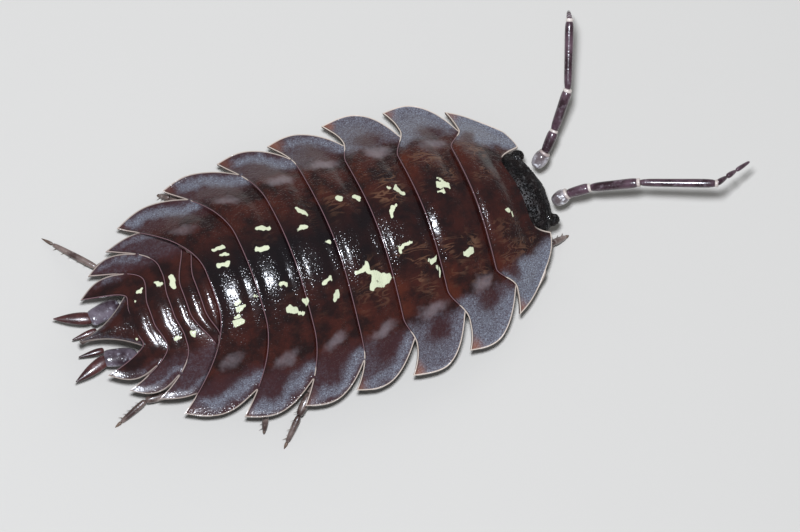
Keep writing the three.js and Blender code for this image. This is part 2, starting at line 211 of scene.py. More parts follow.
def joinPieces(pieces, name):
    deselectAll()
    for piece in pieces:
        piece.select_set(True)
    bpy.context.view_layer.objects.active = pieces[0]
    bpy.ops.object.join()
    pieces[0].name = name
    return pieces[0]


def gridPlaces(piece):
    flat = np.empty(len(piece.data.vertices) * 3)
    piece.data.vertices.foreach_get("co", flat)
    return flat.reshape(-1, 3)


def addShape(addIt, name, **settings):
    deselectAll()
    addIt(**settings)
    piece = bpy.context.object
    piece.name = name
    return piece


def addGrid(name, form):
    piece = addShape(bpy.ops.mesh.primitive_grid_add, name,
                     x_subdivisions=form["rows"], y_subdivisions=form["columns"], size=2)
    return piece, gridPlaces(piece)


def addBall(name, segments, rings):
    return addShape(bpy.ops.mesh.primitive_uv_sphere_add, name,
                    segments=segments, ring_count=rings, radius=1)
def setPlaces(piece, places=None):
    # the body's millimetres become the frame's metres
    moved = toFrame(gridPlaces(piece) if places is None else places)
    piece.data.vertices.foreach_set("co", moved.ravel())
    piece.data.update()
def addMask(piece, name, values):
    mask = piece.data.attributes.new(name, "FLOAT", "POINT")
    mask.data.foreach_set("value", np.asarray(values, np.float32))


def crinkle(places, size, seed):
    shift = Vector((seed, -seed, 0.5 * seed))
    return np.array([noise.noise(Vector(place) / size + shift) for place in places])


def unevenness(places, layers):
    # each layer has a height or strength, a size and a seed
    return sum(high * crinkle(places, size, seed) for high, size, seed in layers)
# Material helpers.
def paint(code):
    channels = [int(code[i:i + 2], 16) / 255 for i in (0, 2, 4)]
    linear = [c / 12.92 if c <= 0.04045 else ((c + 0.055) / 1.055) ** 2.4 for c in channels]
    return (*linear, 1)


def placeNode(tree, kind, settings, inputs):
    made = tree.nodes.new(kind)
    for name, value in settings.items():
        setattr(made, name, value)
    for key, value in inputs.items():
        if isinstance(value, bpy.types.NodeSocket):
            tree.links.new(value, made.inputs[key])
        else:
            made.inputs[key].default_value = value
    return made


def mixColour(tree, factor, first, second):
    inputs = {0: factor, 6: first, 7: second}
    return placeNode(tree, "ShaderNodeMix", {"data_type": "RGBA"}, inputs).outputs[2]


def reckon(tree, operation, first, second=0.0):
    settings = {"operation": operation, "use_clamp": operation == "MULTIPLY"}
    return placeNode(tree, "ShaderNodeMath", settings, {0: first, 1: second}).outputs[0]


def fadeIn(tree, value, low, high):
    settings = {"interpolation_type": "SMOOTHSTEP"}
    inputs = {"Value": value, "From Min": low, "From Max": high}
    return placeNode(tree, "ShaderNodeMapRange", settings, inputs).outputs[0]


def readMask(tree, name):
    return placeNode(tree, "ShaderNodeAttribute", {"attribute_name": name}, {}).outputs["Fac"]


def objectPlace(tree):
    return placeNode(tree, "ShaderNodeTexCoord", {}, {}).outputs["Object"]


def cloudy(tree, where, perMetre, detail=4.0, rough=0.55, bend=0.0):
    inputs = {"Vector": where, "Scale": perMetre, "Detail": detail,
              "Roughness": rough, "Distortion": bend}
    return placeNode(tree, "ShaderNodeTexNoise", {}, inputs).outputs[0]


def cells(tree, where, perMetre):
    inputs = {"Vector": where, "Scale": perMetre}
    return placeNode(tree, "ShaderNodeTexVoronoi", {}, inputs).outputs["Distance"]


def newGroup(name, inputs, outputs):
    group = bpy.data.node_groups.new(name, "ShaderNodeTree")
    sockets = group.interface
    for title, start in inputs.items():
        socket = sockets.new_socket(title, in_out="INPUT", socket_type="NodeSocketFloat")
        socket.default_value = start
    for title in outputs:
        sockets.new_socket(title, in_out="OUTPUT", socket_type="NodeSocketFloat")
    return group, group.nodes.new("NodeGroupInput"), group.nodes.new("NodeGroupOutput")


def useGroup(tree, group, values=()):
    # values for the group's first inputs, in their order
    return placeNode(tree, "ShaderNodeGroup", {"node_tree": group}, dict(enumerate(values)))


def grainGroup():
    # fine pits and low waves of the cuticle, with a mask of the pale flecks between them
    inputs = {"Pits": 16000.0, "Waves": 2500.0, "Pit share": 0.5}  # the first two per metre
    group, given, out = newGroup("cuticleGrain", inputs, ("Height", "Fleck"))
    where = objectPlace(group)
    pits = fadeIn(group, cells(group, where, given.outputs["Pits"]), 0.05, 0.5)
    waves = cloudy(group, where, given.outputs["Waves"], 5)
    fine = reckon(group, "MULTIPLY", pits, given.outputs["Pit share"])
    group.links.new(reckon(group, "ADD", fine, waves), out.inputs["Height"])
    coarser = reckon(group, "DIVIDE", given.outputs["Pits"], 2.2)
    flecks = fadeIn(group, cloudy(group, where, coarser, 2), 0.56, 0.7)
    group.links.new(flecks, out.inputs["Fleck"])
    return group
def marblingGroup():
    # wavy tan lines across the plate, where the muscles join the shell
    group, given, out = newGroup("muscleMarks", {"Size": 3600.0, "Bend": 1.1}, ("Mask",))
    where = objectPlace(group)
    inputs = {"Vector": where, "Scale": (0.36, 1.15, 0.6)}  # drawn out along the body
    stretched = placeNode(group, "ShaderNodeMapping", {}, inputs).outputs[0]
    veins = cloudy(group, stretched, given.outputs["Size"], 2, 0.4, given.outputs["Bend"])
    ridge = reckon(group, "ABSOLUTE", reckon(group, "SUBTRACT", veins, 0.5))
    line = reckon(group, "SUBTRACT", 1.0, fadeIn(group, ridge, 0.01, 0.07))
    patches = fadeIn(group, cloudy(group, where, 1100, 3), 0.42, 0.62)
    group.links.new(reckon(group, "MULTIPLY", line, patches), out.inputs["Mask"])
    return group
grain = grainGroup()
marbling = marblingGroup()


def newMaterial(name):
    material = bpy.data.materials.new(name)
    material.use_nodes = True
    shader = material.node_tree.nodes["Principled BSDF"]
    return material, material.node_tree, shader


def setShader(shader, **values):
    for name, value in values.items():
        shader.inputs[name].default_value = value


def bumpFrom(tree, shader, height, strength, distance):
    inputs = {"Height": height, "Strength": strength, "Distance": distance * millimetre}
    bump = placeNode(tree, "ShaderNodeBump", {}, inputs)
    tree.links.new(bump.outputs[0], shader.inputs["Normal"])


def skinMaterial(name, colours, flecks, roughness, shine, clouds=(1500, 5, 0.6), fade=(0.35, 0.65),
                 pits=(14000.0, 4000.0, 0.5), uneven=0.12, bump=(0.4, 0.015)):
    # two tones in soft clouds, with pale flecks and a grain
    material, tree, shader = newMaterial(name)
    dark, light, pale = [paint(code) for code in colours]
    tone = cloudy(tree, objectPlace(tree), *clouds)
    colour = mixColour(tree, fadeIn(tree, tone, *fade), dark, light)
    surface = useGroup(tree, grain, pits)
    fleck = reckon(tree, "MULTIPLY", surface.outputs["Fleck"], flecks)
    tree.links.new(mixColour(tree, fleck, colour, pale), shader.inputs["Base Color"])
    rough = reckon(tree, "ADD", roughness, reckon(tree, "MULTIPLY", tone, uneven))
    tree.links.new(rough, shader.inputs["Roughness"])
    bumpFrom(tree, shader, surface.outputs["Height"], *bump)
    setShader(shader, **shine)
    return material
plateFinish = {
    "colours": {
        "dark": "1d0b0a", "maroon": "3d1811", "black": "0c070a", "muscle": "654634",
        "amber": "56240f", "veil": "94888c", "lobe": "3a2023", "band": "6a6c76",
        "bandFleck": "9499a3", "bandDark": "483f46", "glow": "86523a", "rim": "cbbbad",
        "hindRim": "75585c", "hindShade": "0a0506", "mark": "cfd3b2", "under": "4c3d3a",
    },
    "rimWide": 0.034,  # millimetres
    "hindWide": 0.024,
    "shadeWider": 2.6,  # the shadow beside the hind rim is wider than the rim
    "shadeShare": 0.55,
    "veilShare": 0.5,
    "fray": 0.5,  # how ragged the pale bands are
    "markFray": 0.7,
    "fineClouds": (9000, 3),  # per metre, detail and roughness
    "stippleClouds": (24000, 2, 0.7),
    "blotchClouds": (1300, 6, 0.65),
    "grain": (13000.0, 5200.0, 0.45),
    "blotchFade": (0.36, 0.64),
    "amberFade": (0.3, 0.7),
    "bandDarkFade": (0.36, 0.5),
    "bandFleckFade": (0.52, 0.7),
    "bandFade": (0.05, 0.95),
    "veilFade": (0.1, 1.2),
    "markFade": (-0.1, 0.1),
    "roughness": 0.12,
    "bandRoughness": 0.2,  # added on the pale bands
    "blotchRoughness": 0.14,
    "bump": (0.5, 0.04),
    "shader": {"Specular IOR Level": 0.5, "Coat Weight": 0.2, "Coat Roughness": 0.06},
}


def lineMask(tree, distance, wide):
    # one on a line, nothing beyond its width in millimetres
    return reckon(tree, "SUBTRACT", 1.0, fadeIn(tree, distance, wide * 0.6, wide * 1.3))


def plateMaterial():
    material, tree, shader = newMaterial("shellPlates")
    where = objectPlace(tree)
    finish = plateFinish
    colours = {name: paint(code) for name, code in finish["colours"].items()}

    def times(first, second):
        return reckon(tree, "MULTIPLY", first, second)

    def plus(first, second):
        return reckon(tree, "ADD", first, second)

    def mask(name):
        return readMask(tree, name)

    def fade(value, name):
        return fadeIn(tree, value, *finish[name])

    def mix(share, under, over):
        return mixColour(tree, share, colours[under], colours[over])

    fineNoise, stipple, blotch = [cloudy(tree, where, *finish[name])
                                  for name in ("fineClouds", "stippleClouds", "blotchClouds")]
    muscles = useGroup(tree, marbling).outputs["Mask"]
    fray = reckon(tree, "SUBTRACT", times(fineNoise, finish["fray"]), finish["fray"] / 2)
    ragged = times(reckon(tree, "SUBTRACT", fineNoise, 0.5), finish["markFray"])
    hindGap = mask("hindGap")
    shade = lineMask(tree, hindGap, finish["hindWide"] * finish["shadeWider"])
    rimLine = lineMask(tree, mask("rimGap"), finish["rimWide"])
    colours["speckle"] = mix(fade(stipple, "bandDarkFade"), "bandDark", "band")
    colours["speckle"] = mix(fade(stipple, "bandFleckFade"), "speckle", "bandFleck")
    colours["shell"] = mix(fade(blotch, "blotchFade"), "dark", "maroon")
    for share, over in (
        (mask("darkMiddle"), "black"),
        (times(muscles, mask("muscleZone")), "muscle"),
        (times(mask("amber"), fade(blotch, "amberFade")), "amber"),
        (mask("lobe"), "lobe"),
        (fade(plus(mask("band"), fray), "bandFade"), "speckle"),
        (times(fade(plus(mask("veil"), fray), "veilFade"), finish["veilShare"]), "veil"),
        (mask("tipGlow"), "glow"),
        (times(shade, finish["shadeShare"]), "hindShade"),
        (lineMask(tree, hindGap, finish["hindWide"]), "hindRim"),
        (times(rimLine, mask("rimTone")), "rim"),
        (fade(plus(mask("mark"), ragged), "markFade"), "mark"),
        (mask("underside"), "under"),
    ):
        colours["shell"] = mix(share, "shell", over)
    tree.links.new(colours["shell"], shader.inputs["Base Color"])
    rough = plus(finish["roughness"], times(mask("band"), finish["bandRoughness"]))
    rough = plus(rough, times(blotch, finish["blotchRoughness"]))
    tree.links.new(rough, shader.inputs["Roughness"])
    pits = useGroup(tree, grain, finish["grain"]).outputs["Height"]
    bumpFrom(tree, shader, times(pits, mask("grainShare")), *finish["bump"])
    setShader(shader, **finish["shader"])
    return material
shellPlates = plateMaterial()
print("shell material made")


# Plates of the thorax and the tail. Each one runs forward under the hind edge of the one before.
# Crown is where the hind edge crosses the midline. From one half width to another this edge steps
# forward, and further out it hooks back. Tip and front are the half widths behind and in front,
# rise is how soon the plate widens, and swell is how far its sides bulge.
plateKeys = ("crown", "step", "stepFrom", "stepTo", "hook", "hookFrom", "tip", "front", "rise", "swell")
thoraxRows = [
    (13.27, 0.58, 2.1, 2.75, 0.12, 2.9, 3.53, 2.3, 1, 0.15),
    (11.5, 0.52, 2.3, 3.3, 0.2, 3.5, 4.13, 2.7, 3.5, 0.08),
    (9.88, 0.27, 2.7, 3.5, 0.35, 3.5, 4.33, 3.05, 4.5, 0.12),
    (8.42, 0, 3, 4, 0.52, 3.1, 4.23, 3.35, 3, 0.2),
    (7.0, 0, 3, 4, 0.83, 2.2, 4.19, 3.5, 3, 0.2),
    (5.6, 0, 3, 4, 1.38, 1.4, 3.9, 3.55, 2, 0.32),
    (4.3, 0, 3, 4, 1.87, 0.6, 3.2, 3.3, 2, 0.38),
]
tailRows = [
    (3.87, 0.36, 0.5, 1.9, 0, 1.2, 1.75, 1.75, 1, 0),
    (3.42, 0.58, 0.4, 2.05, 0, 1.5, 1.9, 1.9, 1, 0),
    (2.95, 0.12, 0.3, 1.1, 1.28, 1.35, 2.55, 2.5, 1, 0.26),
    (2.3, 0.18, 0.3, 1.1, 1.48, 1.1, 1.97, 2.1, 1, 0.3),
    (1.7, 0.12, 0.3, 0.9, 1.32, 0.75, 1.3, 1.6, 1, 0.26),
]
thoraxPlates = [dict(zip(plateKeys, row)) for row in thoraxRows]
tailPlates = [dict(zip(plateKeys, row)) for row in tailRows]
collar = {
    "front": 14.85,
    "middle": 0.12,
    "bow": 0.2,
    "turn": 0.11,  # the notch for the head turns with the head
    "hornReach": 0.85,
    "hornHalf": 1.5,
    "hornRound": 0.3,
    "hornSharpness": 8,
    "hornRim": (1.25, 2.6),  # the pale rim beside the head, off the middle
}
plateForm = {
    "columns": 170,
    "rows": 60,
    "rimCrowding": 1.35,  # how much closer the points lie towards the rims
    "hindCrowding": 1.2,
    "hidden": 0.22,  # share of the length that runs under the plate before
    "fullLength": 1.3,  # shorter plates have less relief
    "tuck": 0.16,  # how far the front edge lies below the line of the back
    "leastTuck": 0.27,  # share of it on short plates
    "flank": (0.5, 0.85),  # the relief of the middle fades out between these shares of the width
    "furrow": 0.025,  # depth of the groove across the plate
    "furrowPlace": (0.24, 0.09),  # and where it lies along the plate
    "crest": 0.05,  # rise of the hind part
    "crestRun": (0.2, 0.5),
    "rollOff": 0.09,  # fall just before the hind edge
    "rollWide": 0.4,
    "rollBend": 1.5,
    "bead": 0.015,  # raised hind rim
    "beadPlace": (0.02, 0.03),
    "upturn": 0.045,  # lift of the outer rim
    "upturnWide": 0.3,
    "droop": 0.26,  # how far the side lobes hang below the line of the back
    "droopRun": (0.62, 1.0),
    "frontBead": (0.04, 0.035),  # height and width of the raised front rim of the first plate
    "coverRun": (-0.12, 0.2),  # where the last ring of the thorax covers the tail
    "coverSide": (0.9, 1.7),
    "waves": ((0.012, 0.5, 3), (0.02, 1.6, 7)),  # height, size and seed of the unevenness
    "thick": 0.1,
    "smooth": 50,
}
tailForm = dict(plateForm, columns=120, rows=40, thick=0.07)
# Cream marks seen through the cuticle, as short strokes in the picture: start, end, half width.
creamMarks = [
    (338.5, 198, 341, 199.5, 2.6), (355.5, 196.5, 358.5, 197.5, 2.4),
    (389, 187, 397, 189, 1.0), (396, 187.5, 402.5, 192.5, 2.2),
    (395.3, 206, 390.5, 211, 1.6), (390.5, 211, 392.5, 216, 1.8),
    (438, 178.5, 445, 182, 1.0), (439.5, 184.8, 446, 184.5, 2.8),
    (445, 183, 448.5, 187, 1.4), (438.5, 192.3, 443.8, 190.5, 1.2),
    (507.6, 209.5, 508.6, 211.5, 1.7), (512.5, 212.5, 513.5, 216.5, 1.0),
    (410, 243, 401, 247, 1.6), (400, 247.5, 399.5, 253, 1.6),
    (429.5, 259, 433, 262, 1.5), (435, 256, 434, 261, 1.4),
    (437, 266.5, 440, 267, 1.3), (439.7, 267.5, 441, 274, 1.3),
    (467, 253, 471.3, 249.3, 3.0),
    (356.5, 272.5, 366, 269, 1.5), (366.5, 262, 367.5, 267, 1.6),
    (366, 269.5, 378.5, 274, 2.2), (379, 274, 390, 275.5, 2.0),
    (383.5, 281, 390, 277, 3.0), (378, 278, 384, 278.5, 1.5),
    (375.5, 275, 373.5, 284, 2.2), (371.5, 288, 383, 282.5, 2.5),
    (338, 291, 335.5, 299, 2.4), (213.5, 250, 224, 246.5, 2.0),
    (222.2, 255.5, 228.5, 254, 1.5), (219, 265, 227, 263.5, 2.4),
    (259, 228.5, 270, 227.7, 2.3), (257, 249, 268.5, 248, 2.2),
    (297, 209.5, 307, 213.5, 2.0), (299.5, 229, 306.5, 226.5, 2.4),
    (328, 240, 330, 241, 2.0), (325.5, 282, 329.5, 277.5, 2.0),
    (282, 284.5, 286, 284, 2.0), (255.5, 295, 257, 295.5, 1.4),
    (289.5, 309, 296, 309.5, 3.2), (300.5, 311, 303, 313, 1.6),
    (305.5, 300, 306.5, 302, 2.2),
    (235.5, 303.5, 240, 302, 2.2), (237.5, 309, 244, 307, 1.4),
    (237.5, 316.5, 239.5, 316, 1.3), (236, 324, 243, 320.5, 2.8),
    (193.2, 334, 194.2, 334, 2.8), (137.5, 292, 142, 289.5, 1.8),
    (158, 283.5, 158.8, 283.7, 3.0), (173, 277, 174, 286, 2.6),
    (176.5, 337.5, 180, 336.5, 2.0), (135.2, 301.5, 135.8, 301.7, 0.9),
    (135.8, 339, 136.2, 339.2, 1.2),
]
markForm = {
    "warp": 0.08,
    "warpSize": 0.13,
    "seeds": (11, 17),
    "melt": 5,  # a lower number melts strokes together from further apart
    "reach": 0.98,
}


def markStrokes():
    strokes = []
    for acrossA, downA, acrossB, downB, half in creamMarks:
        strokes.append((underPixel(acrossA, downA), underPixel(acrossB, downB), half * perPixel))
    return strokes


creamStrokes = markStrokes()


def gapToStroke(x, y, start, end):
    run = np.array(end) - np.array(start)
    share = ((x - start[0]) * run[0] + (y - start[1]) * run[1]) / max(float(run @ run), 1e-9)
    share = np.clip(share, 0, 1)
    return np.hypot(x - start[0] - share * run[0], y - start[1] - share * run[1])


def distanceToLine(x, y, line):
    gaps = [gapToStroke(x, y, start, end) for start, end in zip(line[:-1], line[1:])]
    return np.minimum.reduce(gaps)


def markField(x, y):
    # above nought inside a cream mark, and minus one from a half width outside it
    form = markForm
    flat = np.column_stack([x, y, 0 * x])
    x = x + form["warp"] * crinkle(flat, form["warpSize"], form["seeds"][0])
    y = y + form["warp"] * crinkle(flat, form["warpSize"], form["seeds"][1])
    total = np.full(len(x), math.exp(-6))
    for start, end, half in creamStrokes:
        inside = form["reach"] - gapToStroke(x, y, start, end) / half
        total += np.exp(np.clip(inside, -1.2, 1) * form["melt"])
    return np.clip(np.log(total) / form["melt"], -1, 1)


def hindEdge(plate, y):
    side = np.abs(y)
    step = plate["step"] * ease(side, plate["stepFrom"], plate["stepTo"])
    bend = np.maximum(0, side - plate["hookFrom"]) / (plate["tip"] - plate["hookFrom"])
    return plate["crown"] + step - plate["hook"] * bend * bend


def collarEdge(y):
    off = y - collar["middle"]
    hornHalf = collar["hornHalf"]
    side = np.minimum(np.abs(off) / hornHalf, 1)
    horn = side ** collar["hornSharpness"]
    outside = np.maximum(0, np.abs(off) - hornHalf) / (thoraxPlates[0]["front"] - hornHalf)
    inner = collar["front"] - collar["bow"] * side * side - collar["turn"] * off * (1 - horn)
    return inner + collar["hornReach"] * horn - collar["hornRound"] * outside ** 2


def plateHalf(plate, share):
    share = np.clip(share, 0, 1)
    grown = 1 - (1 - share) ** plate["rise"]
    swollen = plate["swell"] * np.sin(np.pi * share)
    return plate["front"] + (plate["tip"] - plate["front"]) * grown + swollen


def plateOutline(plate, frontEdge):
    # the two side rims, from front to back, and the hind edge
    front, hind = plateHalf(plate, 0), plateHalf(plate, 1)
    share = np.linspace(0, 1, 80)
    rims = []
    for side in (-1, 1):
        rimX = frontEdge(side * front) * (1 - share) + hindEdge(plate, side * hind) * share
        rims.append(np.column_stack([rimX, side * plateHalf(plate, share)]))
    hindY = np.linspace(-hind, hind, 160)
    return (*rims, np.column_stack([hindEdge(plate, hindY), hindY]))


def collarGap(x, y):
    # distance to the front rim on either side of the head
    gaps = []
    for side in (-1, 1):
        rimY = collar["middle"] + side * np.linspace(*collar["hornRim"], 40)
        rimY = rimY[np.abs(rimY) <= thoraxPlates[0]["front"]]
        gaps.append(distanceToLine(x, y, np.column_stack([collarEdge(rimY), rimY])))
    return np.minimum(*gaps)


def shellPlate(name, plate, frontEdge, look, form):
    piece, raw = addGrid(name, form)
    hidden = 0 if look.get("first") else form["hidden"]
    share = 1 - (1 + hidden) * ((1 + raw[:, 0]) / 2) ** form["hindCrowding"]
    inner = np.clip(share, 0, 1)
    across = np.sign(raw[:, 1]) * (1 - (1 - np.abs(raw[:, 1])) ** form["rimCrowding"])
    frontX = frontEdge(across * plateHalf(plate, 0))
    x = frontX * (1 - share) + hindEdge(plate, across * plateHalf(plate, 1)) * share
    y = across * plateHalf(plate, share)
    *fromRims, fromHind = [distanceToLine(x, y, line) for line in plateOutline(plate, frontEdge)]
    fromRim = np.minimum(*fromRims)

    long = float(frontEdge(np.zeros(1))[0] - plate["crown"])
    relief = min(1.0, long / form["fullLength"])
    lying = max(relief, form["leastTuck"])
    relief *= look.get("relief", 1)
    middle = 1 - ease(np.abs(across), *form["flank"])
    z = backHeight(x, y) - form["tuck"] * lying * (1 - share) ** 2
    crest = form["crest"] * ease(inner, *form["crestRun"])
    z += relief * middle * (crest - form["furrow"] * hump(inner, *form["furrowPlace"]))
    roll = (1 - ease(fromHind, 0, form["rollWide"])) ** form["rollBend"]
    z -= relief * middle * form["rollOff"] * roll
    z -= look.get("dome", 0) * middle * (2 * share - 1) ** 2
    z += form["bead"] * lying * hump(fromHind, *form["beadPlace"])
    z += form["upturn"] * (1 - ease(fromRim, 0, form["upturnWide"])) * (1 - middle)
    droop = look.get("droop", form["droop"]) * ease(np.abs(across), *form["droopRun"])
    z -= droop * ease(inner, 0, 0.5)
    if look.get("first"):
        high, wide = form["frontBead"]
        z += high * hump(inner, 0.0, wide) * middle
        fromRim = np.minimum(fromRim, collarGap(x, y))
    if look.get("tail"):
        # it keeps below the last ring of the thorax wherever that one covers it
        covered = ease(x - hindEdge(thoraxPlates[-1], y), *form["coverRun"])
        z -= look["tail"] * covered * ease(np.abs(y), *form["coverSide"])
    places = np.column_stack([x, y, z])
    z += unevenness(places, form["waves"])
    setPlaces(piece, np.column_stack([x, y, z]))
    plateMasks(piece, plate, x, y, inner, fromRim, fromHind, look)
    thicken(piece, form)
    return piece


def softPatch(x, y, patch):
    # a soft blot: centre, half length, half width and turn in degrees
    if patch is None:
        return np.zeros(len(x))
    middleX, middleY, long, wide, turn = patch
    turn = math.radians(turn)
    alongPatch = (x - middleX) * math.cos(turn) + (y - middleY) * math.sin(turn)
    acrossPatch = (y - middleY) * math.cos(turn) - (x - middleX) * math.sin(turn)
    return np.exp(-((alongPatch / long) ** 2 + (acrossPatch / wide) ** 2) ** 1.4)


maskForm = {
    "wobble": ((0.16, 0.55, 5), (0.07, 0.2, 9)),  # strength, size and seed of ragged borders
    "lobeRun": (-0.1, 0.45),  # soft border of the side lobes, on both sides of the core
    "lobeShare": 0.85,
    "patchShare": 0.85,
    "hindRun": (0.05, 0.35),  # the pale band fades towards the hind edge
    "hindShare": 0.6,
    "rimPull": 0.3,  # keeps the pale rim off the middle of the hind edge
    "rimFrom": 0.75,
    "glowRun": (0.05, 0.6),
    "muscleAcross": (0.5, 1.0, 2.0, 2.6),
    "muscleAlong": (0.08, 0.25, 0.78, 0.95),
    "darkRun": (0.3, 2.2),
    "amberAcross": (1.0, 2.0, 2.5, 3.1),
    "amberAlong": (0.1, 0.6),
}


def stretchOf(value, run):
    # rises between the first two numbers and falls between the last two
    return ease(value, *run[:2]) * (1 - ease(value, *run[2:]))


def plateMasks(piece, plate, x, y, share, fromRim, fromHind, look):
    form = maskForm
    flat = np.column_stack([x, y, 0 * x])
    wobble = unevenness(flat, form["wobble"])
    side = np.abs(y)
    tipY = plateHalf(plate, 1)
    fromTip = np.hypot(x - hindEdge(plate, tipY), side - tipY)
    core = look["core"]
    lean = look.get("lean", 0) * (x - plate["crown"])  # the lobe begins nearer the midline in front
    lobe = ease(side + wobble + lean, *[core + run for run in form["lobeRun"]])
    patch = softPatch(x + wobble, side + wobble, look["patch"])
    wash = look["wash"] * lobe * (1 - form["patchShare"] * patch)
    band = look["band"] * hump(fromRim + wobble, look["bandPlace"], look["bandWide"]) * lobe
    band = band * (1 - form["hindShare"] * (1 - ease(fromHind + wobble, *form["hindRun"])))
    muscle = stretchOf(side, form["muscleAcross"]) * stretchOf(share, form["muscleAlong"])
    amber = (1 - ease(fromHind, *form["amberAlong"])) * stretchOf(side, form["amberAcross"])
    masks = {
        "lobe": lobe * form["lobeShare"],
        "band": np.clip(np.maximum(wash, band), 0, 1),
        "rimGap": np.minimum(fromRim, fromHind + form["rimPull"] * (1 - lobe)),
        "hindGap": fromHind,
        "rimTone": look["rim"] * ease(side + lean, core * form["rimFrom"], core),
        "tipGlow": look["tipGlow"] * (1 - ease(fromTip + wobble, *form["glowRun"])),
        "veil": look["veilStrength"] * softPatch(x + wobble, side + 0.6 * wobble, look["veil"]),
        "muscleZone": look["muscle"] * muscle,
        "darkMiddle": look["dark"] * (1 - ease(side + 2 * wobble, *form["darkRun"])),
        "amber": look["amber"] * amber,
        "mark": markField(x, y),
        "grainShare": np.full(len(x), look.get("grain", 0.75)),
    }
    for name, values in masks.items():
        addMask(piece, name, values)


def thicken(piece, form):
    applyModifier(piece, "SOLIDIFY", thickness=form["thick"] * millimetre, offset=-1)
    # the lower wall is the second half of the points
    count = len(piece.data.vertices)
    addMask(piece, "underside", np.arange(count) >= count // 2)
# How each plate is coloured. Core is the half width at which its pale side lobe begins. Wash and
# band are the pale tone of the lobe and of its rim, patch the dark blot in it, veil a milky blot.
lookKeys = ("core", "wash", "band", "bandPlace", "bandWide", "patch", "rim", "tipGlow",
            "veil", "veilStrength", "muscle", "dark", "amber")
lookRows = [
    (2.25, 1.0, 0.0, 0.4, 0.3, (13.9, 2.3, 0.3, 0.25, 20), 1.0, 0.75,
     None, 0.0, 0.6, 0.3, 0.3),
    (2.5, 0.72, 0.5, 0.2, 0.3, (12.9, 2.9, 0.5, 0.26, -8), 1.0, 0.8,
     (12.73, 2.4, 0.5, 0.24, -14), 0.9, 0.8, 0.35, 0.6),
    (2.75, 0.58, 0.6, 0.2, 0.28, (11.0, 3.3, 0.55, 0.32, -8), 1.0, 0.8,
     (10.94, 2.72, 0.52, 0.22, -14), 0.95, 0.85, 0.55, 0.5),
    (2.9, 0.34, 0.7, 0.22, 0.26, (9.4, 3.42, 0.6, 0.32, -6), 0.9, 0.6,
     (9.2, 2.86, 0.5, 0.22, -16), 0.95, 0.45, 0.8, 0.25),
    (2.9, 0.2, 0.75, 0.3, 0.24, (7.7, 3.3, 0.6, 0.3, -6), 0.75, 0.35,
     (7.67, 2.78, 0.5, 0.2, -18), 0.85, 0.2, 0.9, 0.15),
    (2.8, 0.15, 0.75, 0.34, 0.24, (6.0, 3.2, 0.6, 0.3, -6), 0.65, 0.2,
     (5.92, 2.74, 0.48, 0.19, -20), 0.75, 0.1, 0.95, 0.1),
    (2.4, 0.12, 0.75, 0.34, 0.24, (4.2, 2.7, 0.6, 0.3, 0), 0.65, 0.1,
     (4.22, 2.27, 0.45, 0.18, -20), 0.65, 0.05, 0.9, 0.05),
]
thoraxLooks = [dict(zip(lookKeys, row)) for row in lookRows]
thoraxLooks[0].update(lean=0.42, droop=0.18, first=True)
tailRow = (1.35, 0.22, 0.5, 0.2, 0.16, None, 0.5, 0.0, None, 0.0, 0.0, 0.25, 0.0)
tailLook = dict(zip(lookKeys, tailRow), droop=0.14, tail=0.34, grain=0.35, relief=0.3, dome=0.035)
hiddenTailLook = dict(tailLook, wash=0.0, band=0.0, rim=0.0)  # their ends lie under the last ring


def makePlates():
    plates = [(f"plate_{number}", plate, look, plateForm, f"pereonite_{number}")
              for number, (plate, look) in enumerate(zip(thoraxPlates, thoraxLooks), start=1)]
    tailLooks = [hiddenTailLook] * 2 + [tailLook] * 3
    plates += [(f"tail_plate_{number}", plate, look, tailForm, "pleon")
               for number, (plate, look) in enumerate(zip(tailPlates, tailLooks), start=1)]
    edgeBefore = collarEdge
    for name, plate, look, form, node in plates:
        piece = shellPlate(name, plate, edgeBefore, look, form)
        finishPiece(piece, shellPlates, node, form["smooth"])
        edgeBefore = partial(hindEdge, plate)


makePlates()
print("plates of the back made")


telsonForm = {
    "base": 1.75,
    "half": 0.72,
    "taper": 2.2,
    "point": (0.1, 0.03),  # more half width behind the base, and at the very tip
    "bow": 0.12,
    "sink": 0.02,
    "columns": 40,
    "rows": 60,
    "thick": 0.14,
    "smooth": 50,
    "band": 0.3,
    "bandRun": (0.05, 0.25),
    "evenMasks": {"veil": 0, "muscleZone": 0, "amber": 0, "lobe": 0, "tipGlow": 0,
                  "rimTone": 0.35, "hindGap": 1, "darkMiddle": 0.3, "grainShare": 0.5},
}


def makeTelson():
    form = telsonForm
    piece, raw = addGrid("telson_plate", form)
    station = (1 + raw[:, 0]) / 2
    behind, tip = form["point"]
    half = form["half"] * station ** form["taper"] + behind * np.sqrt(station) + tip
    x = form["base"] * station
    y = raw[:, 1] * half
    z = backHeight(x, 0 * x) - form["bow"] * raw[:, 1] ** 2 - form["sink"]
    setPlaces(piece, np.column_stack([x, y, z]))
    fromRim = (1 - np.abs(raw[:, 1])) * half
    for name, value in form["evenMasks"].items():
        addMask(piece, name, np.full(len(x), value))
    addMask(piece, "band", (1 - ease(fromRim, *form["bandRun"])) * form["band"])
    addMask(piece, "rimGap", fromRim)
    addMask(piece, "mark", markField(x, y))
    thicken(piece, form)
    finishPiece(piece, shellPlates, "telson", form["smooth"])


makeTelson()
print("telson made")


